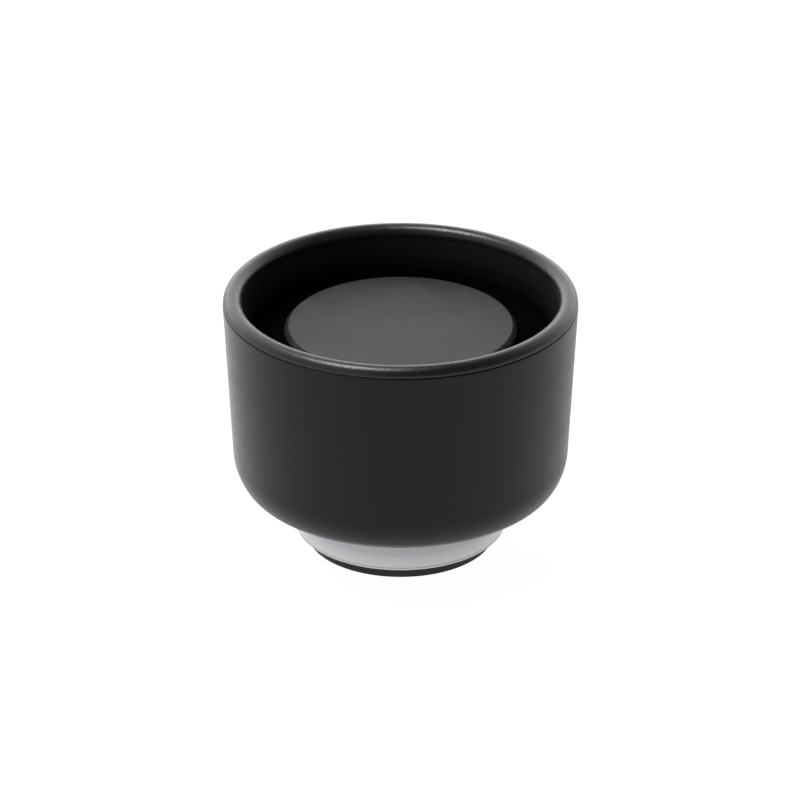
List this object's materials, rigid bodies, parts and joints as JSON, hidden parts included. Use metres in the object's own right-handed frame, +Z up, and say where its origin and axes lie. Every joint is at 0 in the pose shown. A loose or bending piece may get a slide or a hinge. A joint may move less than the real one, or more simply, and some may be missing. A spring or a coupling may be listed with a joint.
{
  "type": "rock tumbler barrel",
  "caption": "Small black lapidary barrel: tapered round cup with a push-in plug lid, a grey spring-loaded vent button in its well, a frosted base collar and a rubber foot.",
  "frame": {"origin": "centre of the foot pad's underside", "axes": "+Z up along the barrel's axis, towards the lid; the part is round about +Z, so X and Y are free"},
  "size_m": [0.11, 0.11, 0.0842],
  "materials": {
    "matte_black_shell": "fine matte moulded ABS",
    "grained_rim": "fine-grained matte moulded ABS",
    "satin_black": "satin moulded ABS",
    "black_hard_plastic": "as moulded glass-filled nylon",
    "soft_touch_grey": "soft-touch overmould, faintly smudged",
    "black_rubber": "moulded nitrile rubber",
    "seal_silicone": "moulded silicone",
    "frosted_plastic": "frosted translucent polypropylene",
    "natural_acetal": "natural acetal, machined",
    "steel": "stainless steel",
    "brass": "machined brass"
  },
  "bodies": {
    "barrel": {"outer_shell": "matte_black_shell", "barrel_liner": "black_rubber", "mouth_ring": "black_hard_plastic", "backing_plate": "steel", "collar_screws": "steel", "screw_washers": "steel", "threaded_inserts": "brass", "base_gasket": "black_rubber", "collar_core": "black_hard_plastic", "base_collar": "frosted_plastic", "foot_pad": "black_rubber", "foot_screws": "steel"},
    "lid": {"lid_rim": "grained_rim", "lid_dish": "satin_black", "rim_gasket": "black_rubber", "lid_o_rings": "seal_silicone", "lid_underplate": "black_hard_plastic", "underplate_screws": "steel", "guide_bush": "natural_acetal", "valve_seat": "seal_silicone", "return_spring": "steel"},
    "vent_button": {"button_pad": "soft_touch_grey", "button_carrier": "black_hard_plastic", "valve_stem": "steel", "valve_poppet": "natural_acetal", "valve_washer": "seal_silicone", "stem_nut": "steel"}
  },
  "joints": [
    {"name": "lid_lift", "type": "slide", "parent": "barrel", "child": "lid", "axis": [0, 0, 1], "range_m": [0, 0.09]},
    {"name": "vent_press", "type": "slide", "parent": "lid", "child": "vent_button", "axis": [0, 0, -1], "range_m": [0, 0.003], "stiffness_N_per_m": 700, "springref_m": -0.002, "deforming": ["return_spring"]}
  ]
}
